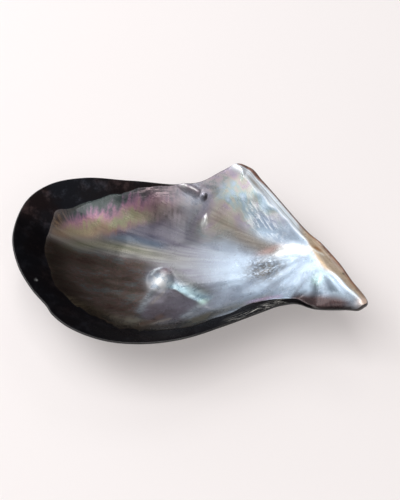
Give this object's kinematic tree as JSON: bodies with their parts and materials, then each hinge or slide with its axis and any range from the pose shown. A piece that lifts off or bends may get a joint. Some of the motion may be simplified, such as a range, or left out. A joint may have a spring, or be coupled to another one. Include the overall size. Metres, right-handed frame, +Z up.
{
  "type": "seashell dish",
  "caption": "One polished valve of a winged pearl oyster, open side up: a shallow oval dish with a dark rim, a pearly bowl and a pointed ear on its straight hinge side",
  "frame": {"origin": "on the resting plane, under the middle of the valve's box seen from above", "axes": "+X along the valve's length to the pointed front ear, +Y to the hinge side and the back wing, +Z up out of the bowl"},
  "size_m": [0.18, 0.107, 0.0325],
  "materials": {
    "shell": "polished nacre inside with a glossy near-black margin; dark brown-black, finely ridged outside"
  },
  "bodies": {
    "root": {"shell_valve": "shell"}
  },
  "joints": []
}
